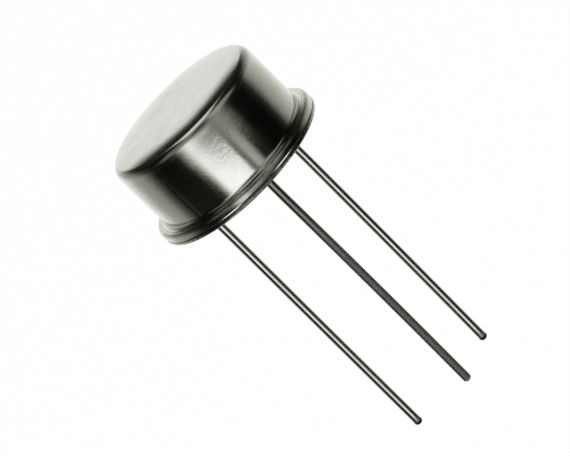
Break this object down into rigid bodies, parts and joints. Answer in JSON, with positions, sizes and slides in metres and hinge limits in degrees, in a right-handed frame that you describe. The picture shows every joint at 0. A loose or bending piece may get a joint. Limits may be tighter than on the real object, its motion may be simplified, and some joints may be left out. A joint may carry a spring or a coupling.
{
  "type": "thyristor",
  "caption": "Low metal-can thyristor with a nickel-plated drawn cap, a glass-sealed header with an index tab, and wire leads for a circuit board.",
  "frame": {"origin": "centre of the seating plane, the flat underside of the header, on the can's axis", "axes": "+Z along the can's axis from the header to the cap's top; the leads run towards -Z; +X towards the cathode lead, -Y towards the gate lead and -X towards the anode lead"},
  "size_m": [0.0094, 0.0094, 0.0192],
  "materials": {
    "nickel_plate": "bright nickel plate, finely drawn",
    "header_plate": "satin nickel plate",
    "lead_plate": "drawn wire, plated",
    "seal_glass": "dark fused sealing glass",
    "braze": "smooth braze fillet",
    "molybdenum": "lapped, matt",
    "soft_solder": "reflowed solder",
    "silicon": "polished silicon",
    "bond_aluminium": "drawn bond wire"
  },
  "bodies": {
    "root": {"cap": "nickel_plate", "header": "header_plate", "cathode_seal": "seal_glass", "gate_seal": "seal_glass", "anode_braze": "braze", "cathode_lead": "lead_plate", "gate_lead": "lead_plate", "anode_lead": "lead_plate", "spreader_solder": "soft_solder", "heat_spreader": "molybdenum", "die_solder": "soft_solder", "die": "silicon", "cathode_wire": "bond_aluminium", "gate_wire": "bond_aluminium"}
  },
  "joints": []
}
